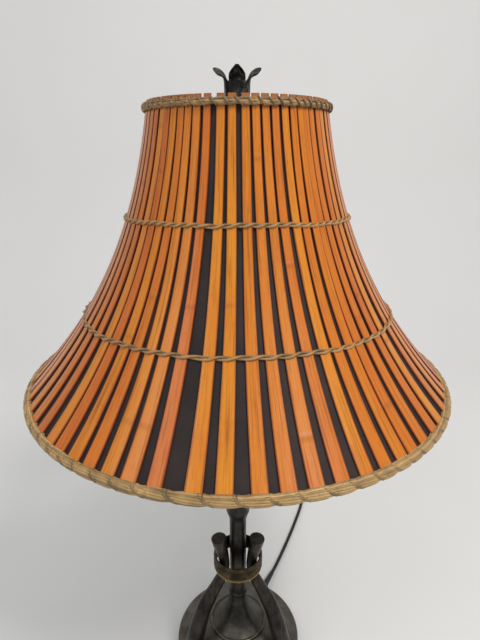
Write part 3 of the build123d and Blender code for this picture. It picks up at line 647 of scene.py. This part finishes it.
def makePlug(sizes, line):
    # Superellipse sections: each coordinate is its half size times the signed power of cos or sin
    ahead = unit(line[-1] - line[-3])
    ahead = unit(np.array([ahead[0], ahead[1], 0.0]))
    across = np.array([ahead[1], -ahead[0], 0.0])
    share = np.linspace(0, 1, sizes["rows"])
    shoulder = np.clip(share / 0.34, 0, 1)
    swell = 0.36 + 0.64 * np.sin(shoulder * pi / 2) ** 1.3
    front = 1 - 0.16 * np.clip((share - 0.94) / 0.06, 0, 1) ** 2
    groovePart = share - sizes["grooveFrom"]
    wave = np.clip(np.sin(groovePart * pi * 2 * sizes["grooves"] / sizes["grooveSpan"]), 0, 1)
    grooves = 1 - 0.055 * wave ** 0.6 * ((groovePart > 0) & (groovePart < sizes["grooveSpan"]))
    turn = fullTurn(sizes["sides"])
    wide = np.sign(np.cos(turn)) * np.abs(np.cos(turn)) ** sizes["power"]
    tall = np.sign(np.sin(turn)) * np.abs(np.sin(turn)) ** sizes["power"]
    size = (swell * front)[:, None]
    side = sizes["halfWidth"] * wide * size * grooves[:, None]
    up = sizes["halfHeight"] * tall * size * (0.5 + 0.5 * grooves[:, None])
    back = (share * sizes["length"])[:, None]
    rings = (line[-1] + ahead * back[..., None] + across * side[..., None]
             + np.array([0, 0, 1.0]) * up[..., None])
    rings = closedEnds(rings)
    along = np.concatenate([[0], share, [1]]) * sizes["length"]
    around = np.linspace(0, 0.07, sizes["sides"] + 1)
    return makePiece("plug_grip", rings[None], along, around, weld=True, sharpAngle=60)


plugGrip = finishPiece(makePlug(plugSizes, leadLine), "stand", "black_plastic", "plug_body")
mainsLead.data.materials.append(finishes["cord_pvc"])
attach(mainsLead, "stand")
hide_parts("cord", "cord_coil")
print("cord and plug made")


# The bell's outline

bell = {"top": 0.6777, "topRadius": 0.0845, "topLean": 9.2, "bottom": 0.4137, "bottomRadius": 0.2184,
        "bottomLean": 44.7}


def bellOutline(z):
    # A cubic in the share of the way down, with the stated radius and lean at both rims
    height = bell["top"] - bell["bottom"]
    topSlope = tan(radians(bell["topLean"])) * height
    bottomSlope = tan(radians(bell["bottomLean"])) * height
    widening = bell["bottomRadius"] - bell["topRadius"]
    cubic = topSlope + bottomSlope - 2 * widening
    square = widening - topSlope - cubic
    down = (bell["top"] - z) / height
    radius = bell["topRadius"] + topSlope * down + square * down**2 + cubic * down**3
    lean = np.arctan((topSlope + 2 * square * down + 3 * cubic * down**2) / height)
    return radius, lean


def bellPoint(z, depth):
    # The radius and height of the point that deep inside the outer face, square to it
    radius, lean = bellOutline(z)
    return radius - depth * np.cos(lean), z - depth * np.sin(lean)


def wheel(angle, radius, height, shift=0.0):
    # A point at an angle to the right of the front, that far from the axis and shifted sideways
    return np.stack([np.sin(angle) * radius + np.cos(angle) * shift,
                     -np.cos(angle) * radius + np.sin(angle) * shift, height + 0 * angle], -1)


slatSizes = {"count": 64, "foot": 0.4132, "top": 0.6845, "halfTop": 0.0033,
             "halfBottom": 0.0066, "rows": 44}
# Degrees to the right of the front
frontAngles = [-46, -41.6, -36.5, -31.6, -26.6, -21.5, -15.9, -8.1, -2.2, 4.5, 10.1, 15.7, 21.1, 26.9, 31.9,
               37.1, 41.1, 46.1]


def slatAngles():
    # The stated angles at the front, then nearly even steps round the back
    count = slatSizes["count"] - len(frontAngles)
    step = (360 - (frontAngles[-1] - frontAngles[0])) / (count + 1)
    order = np.arange(1, count + 1)
    rest = frontAngles[-1] + step * order + 0.45 * np.sin(2.3 * order) + 0.3 * np.sin(5.1 * order)
    return np.radians(np.concatenate([frontAngles, rest]))


slatTurns = slatAngles()
slatCount = slatSizes["count"]


def makeSlats(sizes):
    # Each slat follows the bell's outline; its section is a flat strip with a slight crown and eased edges,
    # depth in mm against the share of the half width
    heights = np.linspace(sizes["foot"], sizes["top"], sizes["rows"])
    across = np.array([-0.86, -0.5, 0, 0.5, 0.86, 0.97, 1, 1, 0.93, 0.0, -0.93, -1, -1, -0.97])
    depth = np.array([0.13, 0.06, 0.03, 0.06, 0.13, 0.22, 0.42, 1.35, 1.58, 1.6, 1.58, 1.35, 0.42,
                      0.22]) / 1000
    radius = bellOutline(heights)[0]
    half = sizes["halfTop"] + (sizes["halfBottom"] - sizes["halfTop"]) * (
        (radius - bell["topRadius"]) / (0.216 - bell["topRadius"]))
    wide = random.uniform(0.94, 1.03, (slatCount, 1, 1))
    # Real splits are never quite even: a slow wave in the width and in the line of each slat
    phase = random.uniform(0, 2 * pi, (slatCount, 1, 1))
    waves = 1 + 0.018 * np.sin(heights[None, :, None] * 46 + phase)
    bow = 0.00035 * np.sin(heights[None, :, None] * 21 + phase * 1.7)
    shift = half[None, :, None] * across * wide * waves + bow
    r, z = bellPoint(heights[:, None], depth[None, :])
    angle = slatTurns[:, None, None] + 0 * shift
    points = wheel(angle, r[None] + 0 * shift, z[None] + 0 * shift, shift)
    points = closedEnds(points)
    along = np.concatenate([[0], heights - sizes["foot"], [sizes["top"] - sizes["foot"]]]) * 1.25
    around = np.concatenate([across, across[:1]]) * 0.005
    tone = np.clip(random.normal(0.5, 0.27, (slatCount, 1, 1)), 0, 1)
    seed = random.uniform(0, 10, (slatCount, 1, 1))
    edge = np.abs(across)[None, None, :]
    return makePiece("bamboo_slats", points, along, around, weld=True, sharpAngle=45,
                     values={"tone": tone, "seed": seed, "edge": edge})


finishPiece(makeSlats(slatSizes), "shade", "bamboo", "slats")
print("slats made")


def gapAngles():
    # The middle of the gap after each slat
    following = np.append(slatTurns[1:], slatTurns[0] + 2 * pi)
    return (slatTurns + following) / 2


def ringPath(perSlat):
    # Angles evenly spread between the middles of slats and gaps, and the twist there: half a turn from one
    # slat to the next
    knots = np.stack([slatTurns, gapAngles()], -1).ravel()
    knots = np.append(knots, slatTurns[0] + 2 * pi)
    step = np.arange(slatCount * perSlat) / perSlat * 2
    order = np.arange(len(knots))
    return np.interp(step, order, knots), step * pi / 2


def makeTwine(name, height, node, sizes):
    # Two strands wound round each other: one lies over each slat, and they cross in the gap beside it. Their
    # line is lower at the sides of the shade than at the front, as the cosine of twice the angle.
    angle, twist = ringPath(sizes["perSlat"])
    level = height + sizes["sag"] * np.cos(2 * angle)
    turns = twist[None] + np.array([[0], [pi]])
    radius = bellOutline(level)[0]
    sunk = 0.0007 * np.sin(twist) ** 2
    outward = sizes["spread"] * (np.cos(turns) - 0.9)
    r = np.maximum(radius + sizes["strand"] + 0.0001 - sunk + outward, radius - 0.0008)
    wander = 0.0004 * np.sin(angle * 7) + 0.0003 * np.sin(angle * 17 + 1)
    z = level + sizes["rise"] * np.sin(turns) + wander - (r - radius) * 0.2
    section = fullTurn(sizes["sides"])
    swell = 1 + 0.12 * np.sin(turns * 2 + 0.6)
    thick = sizes["strand"] * swell
    points = wheel(np.broadcast_to(angle, r.shape)[..., None] + 0 * section,
                   r[..., None] + thick[..., None] * np.cos(section),
                   z[..., None] + thick[..., None] * np.sin(section))
    along = girth(float(radius.mean()), len(angle))
    around = girth(sizes["strand"], sizes["sides"])
    # Painted shade and light: a strand is darker where it turns inwards and paler where it lies outermost
    tone = 0.5 + 0.5 * np.cos(turns)
    piece = makePiece(name, points, along, around, closeRows=True, values={"tone": tone[..., None]})
    return finishPiece(piece, "shade", "cane", node)


twineSizes = {"strand": 0.00115, "spread": 0.0011, "rise": 0.0011, "sag": 0.0023, "perSlat": 12, "sides": 9}
makeTwine("upper_cane_twine", 0.5844, "upper_twine", twineSizes)
makeTwine("lower_cane_twine", 0.4910, "lower_twine", twineSizes)
print("twines made")

# Top binding: three laid strands round the rim, tied over by a slanting wrap in each gap
topSizes = {"low": 0.6768, "high": 0.6806, "strand": 0.0012, "wrap": 0.0007, "slant": 0.0026,
            "perSlat": 10, "sides": 9, "out": 0.0018, "wrapHeight": 0.6787, "wrapOut": 0.0012,
            "wrapReach": (0.0021, 0.0034)}


def makeTopCore(sizes):
    # Each strand's radius and height wave a little, out of step with its neighbours
    angle, twist = ringPath(sizes["perSlat"])
    order = np.arange(3)[:, None]
    height = sizes["low"] + (sizes["high"] - sizes["low"]) * order / 2
    pinch = np.sin(twist) ** 2
    mid = (sizes["low"] + sizes["high"]) / 2
    z = mid + (height - mid) * (1 - 0.22 * pinch) + 0.00035 * np.sin(twist + order * 2.1)
    radius = bellOutline(height)[0]
    r = radius + sizes["out"] - 0.0006 * pinch + 0.0002 * np.sin(3 * twist + order * 1.3)
    section = fullTurn(sizes["sides"])
    points = wheel(angle[None, :, None] + 0 * r[..., None] + 0 * section,
                   r[..., None] + sizes["strand"] * np.cos(section),
                   z[..., None] + sizes["strand"] * 1.05 * np.sin(section))
    along = girth(bell["topRadius"], len(angle))
    around = girth(sizes["strand"], sizes["sides"])
    tone = np.array([0.15, 0.85, 0.1])[:, None, None]
    return makePiece("rim_strands", points, along, around, closeRows=True, values={"tone": tone})


def makeWraps(name, middle, reach, strand, slant, pair, tones, rows=26, sides=7, flat=1.0):
    # Slanting loops: each goes round the bundle's section while its angle swings by the slant with the sine,
    # upper left to lower right on the outside. middle is the radius and height of the bundle's middle, and
    # pair is how many loops lie side by side in each gap.
    aside = np.arange(pair) * strand * 2.0 / middle[0]
    halfPair = (pair - 1) * strand / middle[0]
    gaps = (gapAngles()[:, None] + aside - halfPair).ravel()
    turn = fullTurn(rows)
    jitter = random.uniform(-1, 1, (len(gaps), 1))
    angle = gaps[:, None] - slant * (1 + 0.12 * jitter) * np.sin(turn) / middle[0]
    out = reach[0] * np.cos(turn) * (1 + 0.02 * jitter)
    up = reach[1] * np.sin(turn) * (1 + 0.02 * jitter)
    r = middle[0] + out
    z = middle[1] + up
    line = wheel(angle, r, z)
    ahead = unit(np.roll(line, -1, 1) - np.roll(line, 1, 1))
    centre = wheel(angle, middle[0] + 0 * r, middle[1] + 0 * z)
    outward = unit(line - centre)
    sideways = unit(np.cross(ahead, outward))
    outward = np.cross(sideways, ahead)
    section = fullTurn(sides)
    points = (line[:, :, None] + outward[:, :, None] * strand * flat * np.cos(section)[:, None]
              + sideways[:, :, None] * strand * np.sin(section)[:, None])
    along = girth(reach[0], rows)
    around = girth(strand, sides)
    tone = np.tile(tones, len(gaps) // pair)[:, None, None] + 0.12 * jitter[..., None]
    return makePiece(name, points, along, around, closeRows=True, values={"tone": np.clip(tone, 0, 1)})


finishPiece(makeTopCore(topSizes), "shade", "cane", "top_binding")
rimMiddle = (float(bellOutline(topSizes["wrapHeight"])[0]) + topSizes["wrapOut"], topSizes["wrapHeight"])
rimWraps = makeWraps("rim_wraps", rimMiddle, topSizes["wrapReach"], topSizes["wrap"], topSizes["slant"], 1,
                     (0.05,), flat=0.8)
finishPiece(rimWraps, "shade", "cane")
print("top binding made")

# Bottom binding: a thick bundle of straw strands round the hem, pinched by a pair of thin slanting wraps in
# each gap
hemSizes = {"ring": 0.216, "height": 0.413, "radius": 0.0049, "strands": 14, "pinch": 0.2,
            "perSlat": 14, "sides": 84, "wrap": 0.00085, "slant": 0.0060, "wrapReach": (0.0039, 0.0039)}


def makeHem(sizes):
    # The section's radius is a circle with a half round for each strand, drawn in at every wrap; the strands
    # drift slowly round the bundle
    angle, twist = ringPath(sizes["perSlat"])
    pinch = np.abs(np.sin(twist)) ** 5
    section = fullTurn(sizes["sides"])
    drift = 0.45 * np.sin(angle * 3) + 0.25 * np.sin(angle * 8 + 2)
    lobe = (section[None] + drift[:, None]) * sizes["strands"] / 2
    groove = 1 - np.abs(np.sin(lobe)) ** 0.55
    fullness = 1 - sizes["pinch"] * pinch + 0.012 * np.sin(angle * 23)
    radius = sizes["radius"] * np.minimum(fullness, 1.0)[:, None] * (1 - 0.18 * groove)
    points = wheel(angle[:, None] + 0 * radius, sizes["ring"] + radius * np.cos(section),
                   sizes["height"] + radius * np.sin(section))
    strand = np.floor(lobe / pi) % sizes["strands"]
    tone = 0.68 + 0.32 * np.sin(strand * 2.4 + 0.7) + 0.1 * np.sin(angle * 5)[:, None]
    along = girth(sizes["ring"], len(angle))
    around = girth(sizes["radius"], sizes["sides"])
    return makePiece("hem_bundle", points[None], along, around, closeRows=True,
                     values={"tone": np.clip(tone, 0, 1)[None]})


finishPiece(makeHem(hemSizes), "shade", "raffia", "bottom_binding")
hemMiddle = (hemSizes["ring"], hemSizes["height"])
hemWraps = makeWraps("hem_wraps", hemMiddle, hemSizes["wrapReach"], hemSizes["wrap"], hemSizes["slant"], 2,
                     (0.0, 0.15), rows=30)
finishPiece(hemWraps, "shade", "raffia")
print("bottom binding made")

# Leg binding: three rounded turns, each of three fine laid strands
bindingSizes = {"inner": 0.0294, "outer": 0.0317, "bottom": 0.1291, "top": 0.1509, "turns": 3, "fine": 3}


def makeLegBinding(sizes):
    # The outside is a half round for each turn with a finer half round for each strand in it
    share = np.linspace(0, 1, 91)
    turnWave = np.abs(np.sin(pi * sizes["turns"] * share)) ** 0.5
    fineWave = np.abs(np.sin(pi * sizes["turns"] * sizes["fine"] * share)) ** 0.6
    outside = sizes["inner"] + 0.0006 + (sizes["outer"] - sizes["inner"] - 0.0006) * (
        0.72 * turnWave + 0.28 * fineWave * turnWave)
    height = sizes["bottom"] + (sizes["top"] - sizes["bottom"]) * share
    radius = np.concatenate([outside, [sizes["inner"], sizes["inner"]]])
    height = np.concatenate([height, [sizes["top"], sizes["bottom"]]])
    angle = fullTurn(144)
    wave = 0.00012 * np.sin(angle * 24)[:, None] * (np.arange(len(radius)) < len(share))
    points = wheel(angle[:, None] + 0 * radius, radius + wave, height + 0 * angle[:, None])
    along = girth(sizes["outer"], len(angle))
    around = np.linspace(0, 0.03, len(radius) + 1)
    return makePiece("leg_binding_turns", points[None], along, around, closeRows=True, sharpAngle=50)


finishPiece(makeLegBinding(bindingSizes), "stand", "brass_binding", "leg_binding")

# Finial: a fluted cup with four leaves that curl outwards
finialSizes = {"bottom": 0.6719, "flutes": 16, "leaves": 4}


def makeFinialCup(sizes):
    # A profile turned about the axis, its outside drawn in by shallow flutes. Radius and height above the
    # bottom in mm, from the top of the bore round to the crown.
    bottom = sizes["bottom"]
    outline = np.array([(0, 10.4), (4.7, 10.4), (4.7, 0), (6.4, 0), (7.9, 0.1), (8.2, 0.5), (8.2, 1.9),
                        (7.9, 2.4), (6.9, 3.2), (6.45, 4.6), (6.5, 6.6), (7.0, 9.6), (7.7, 13), (8.6, 17),
                        (9.4, 21), (10.0, 25), (10.2, 28), (9.8, 29.4), (8.4, 30.8), (6.2, 31.9), (3.2, 32.7),
                        (1.2, 33), (0, 33)]) / 1000
    order = np.arange(len(outline))
    fine = np.linspace(0, order[-1], 106)
    radius = np.interp(fine, order, outline[:, 0])
    height = bottom + np.interp(fine, order, outline[:, 1])
    angle = fullTurn(96)
    above = np.clip((height - bottom - 0.004) / 0.004, 0, 1)
    below = np.clip((0.0305 + bottom - height) / 0.004, 0, 1)
    body = above * below * (fine > 7)
    flute = 1 - 0.05 * body * np.abs(np.sin(angle * sizes["flutes"] / 2))[:, None] ** 2
    points = wheel(angle[:, None] + 0 * radius, radius * flute, height + 0 * flute)
    along = np.linspace(0, 0.06, len(angle) + 1)
    around = np.linspace(0, 0.06, len(radius))
    return makePiece("finial_cup", points[None], along, around, closeRows=True, closeColumns=False, weld=True,
                     sharpAngle=45)


def makeLeaves(sizes):
    # A leaf's middle line is a curve through stated points. Its width is wrapped round the axis, swells, then
    # comes to a tip; its edges lie in against the cup and droop where it curls out, with ridges along it
    order = np.array([0, 0.16, 0.34, 0.52, 0.68, 0.82, 0.92, 1.0])
    out = np.array([8.2, 9.6, 10.4, 10.9, 12.6, 16.2, 19.6, 22.2]) / 1000
    up = np.array([8.0, 14.5, 22.5, 30.0, 36.0, 39.8, 41.0, 41.0]) / 1000 + sizes["bottom"]
    half = np.array([5.6, 7.2, 8.2, 8.4, 7.8, 6.6, 5.2, 2.6]) / 1000
    thick = np.array([1.2, 1.2, 1.1, 1.0, 0.9, 0.75, 0.6, 0.35]) / 1000
    share = np.linspace(0, 1, 44)
    smooth = [np.polynomial.Polynomial.fit(order, values, 5)(share) for values in (out, up)]
    middle = np.stack(smooth, -1)
    ahead = unit(np.gradient(middle, axis=0))
    square = np.stack([ahead[:, 1], -ahead[:, 0]], -1)
    turn = fullTurn(36)
    acrossShare = np.cos(turn)
    face = np.sin(turn)
    halfWide = np.interp(share, order, half)[:, None]
    droop = np.interp(share, order, np.array([-0.8, -0.8, -0.3, 1.2, 3.6, 5.0, 4.2, 2.0]) / 1000)[:, None]
    ridge = 0.0004 * np.cos(acrossShare * 3 * pi) * (halfWide / 0.007)
    thickness = np.interp(share, order, thick)[:, None] * np.sign(face) * np.abs(face) ** 0.6
    off = droop * acrossShare**2 + thickness + ridge
    r = middle[:, :1] + square[:, :1] * off
    z = middle[:, 1:] + square[:, 1:] * off
    shift = halfWide * acrossShare
    angles = (np.arange(sizes["leaves"]) * 2 * pi / sizes["leaves"])[:, None, None]
    points = wheel(angles + shift / r, r + 0 * angles, z + 0 * angles)
    points = closedEnds(points)
    along = np.concatenate([[0], share, [1]]) * 0.045
    around = np.linspace(0, 0.028, len(turn) + 1)
    return makePiece("finial_leaves", points, along, around, weld=True, sharpAngle=60)


finishPiece(makeFinialCup(finialSizes), "finial", "finial_bronze", "finial")
finishPiece(makeLeaves(finialSizes), "finial", "finial_bronze")
print("stand and finial made")


# Floor, backdrop and light

backdropSizes = {"front": -3.0, "bendFrom": 0.9, "bend": 0.6, "wallFrom": 0.7, "top": 3.5, "halfWidth": 3.5}


def makeBackdrop(sizes):
    # A pale floor that bends up into a wall: straight, a quarter circle, straight
    bend = np.linspace(0, pi / 2, 25)[1:]
    floor = np.linspace(sizes["front"], sizes["bendFrom"], 12)
    wall = np.linspace(sizes["wallFrom"], sizes["top"], 8)
    depth = np.concatenate([floor, sizes["bendFrom"] + sizes["bend"] * np.sin(bend),
                            np.full(8, sizes["bendFrom"] + sizes["bend"])])
    height = np.concatenate([np.zeros(12), sizes["bend"] - sizes["bend"] * np.cos(bend), wall])
    across = np.linspace(-sizes["halfWidth"], sizes["halfWidth"], 10)
    points = np.stack([across[None, :] + 0 * depth[:, None], depth[:, None] + 0 * across, height[:, None]
                       + 0 * across], -1)
    return makePiece("studio_backdrop", points[None], np.linspace(0, 7, len(depth)), np.linspace(0, 7, 10),
                     closeColumns=False)


backdrop = makeBackdrop(backdropSizes)
plaster, plasterTree, plasterShader = newMaterial("paleFloor", {"Roughness": 0.75})
plasterTone = noise(plasterTree, objectVector(plasterTree), 3.0, 4.0)
plasterTree.links.new(mixColour(plasterTree, plasterTone, linear(232, 231, 229), linear(238, 237, 235)),
                      plasterShader["Base Color"])
backdrop.data.materials.append(plaster)


def addLight(name, place, aim, size, power, colour):
    light = bpy.data.lights.new(name, "AREA")
    light.shape = "DISK"
    light.size = size
    light.energy = power
    light.color = colour
    lamp = bpy.data.objects.new(name, light)
    scene.collection.objects.link(lamp)
    lamp.location = place
    direction = np.array(aim) - np.array(place)
    yaw = np.arctan2(direction[1], direction[0]) - pi / 2
    tilt = np.arctan2(np.hypot(direction[0], direction[1]), -direction[2])
    lamp.rotation_euler = (float(tilt), 0, float(yaw))


addLight("keyLight", (0.85, -0.8, 1.95), (0, 0, 0.5), 0.6, 21.5, (1.0, 0.98, 0.95))
addLight("fillLight", (-1.1, -0.9, 1.9), (0, 0, 0.45), 1.2, 7.0, (0.97, 0.99, 1.0))
world = bpy.data.worlds.new("paleRoom")
scene.world = world
world.use_nodes = True
roomLight = world.node_tree.nodes["Background"].inputs
roomLight["Color"].default_value = (0.80, 0.81, 0.83, 1)
roomLight["Strength"].default_value = 0.64
scene.view_settings.view_transform = "Standard"
print("backdrop and lights made")
